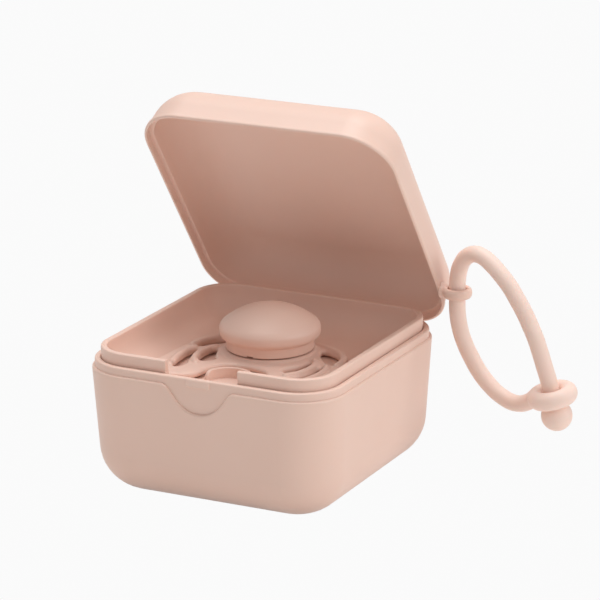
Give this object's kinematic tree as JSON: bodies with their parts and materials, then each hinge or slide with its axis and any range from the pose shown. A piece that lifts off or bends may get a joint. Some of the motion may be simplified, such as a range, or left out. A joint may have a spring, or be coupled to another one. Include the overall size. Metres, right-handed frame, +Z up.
{
  "type": "pacifier box",
  "caption": "Rounded plastic box with a half-open hinged lid, a lift-out tray holding a pacifier, and a looped silicone strap in an eyelet on the lid.",
  "frame": {"origin": "middle of the box's flat underside", "axes": "+Z up, -Y to the front where the catch is, +X to the right where the lid's eyelet and strap are"},
  "size_m": [0.1081, 0.0811, 0.0934],
  "materials": {
    "shell_plastic": "matte moulded",
    "pacifier_plastic": "matte moulded",
    "strap_silicone": "matte",
    "nipple_silicone": "satin"
  },
  "bodies": {
    "box": {"base_shell": "shell_plastic", "hinge_pin": "shell_plastic"},
    "lid": {"lid": "shell_plastic"},
    "tray": {"tray": "shell_plastic"},
    "pacifier": {"pacifier_shield": "pacifier_plastic", "pacifier_knob": "pacifier_plastic", "pacifier_nipple": "nipple_silicone"},
    "strap": {"strap_cord": "strap_silicone", "strap_ring": "strap_silicone", "strap_ball": "strap_silicone"}
  },
  "joints": [
    {"name": "lid_hinge", "type": "hinge", "parent": "box", "child": "lid", "pos_m": [0, 0.0359, 0.0294], "axis": [-1, 0, 0], "range_deg": [-54.4, 55.6]},
    {"name": "tray_lift", "type": "slide", "parent": "box", "child": "tray", "axis": [0, 0, 1], "range_m": [0, 0.001]},
    {"name": "pacifier_turn", "type": "hinge", "parent": "tray", "child": "pacifier", "pos_m": [0, 0.0033, 0.03], "axis": [0, 0, 1], "range_deg": [-3, 3]},
    {"name": "strap_swing", "type": "hinge", "parent": "lid", "child": "strap", "pos_m": [0.0384, 0.03112, 0.04295], "axis": [0, 0, 1], "range_deg": [-60, 75]}
  ]
}
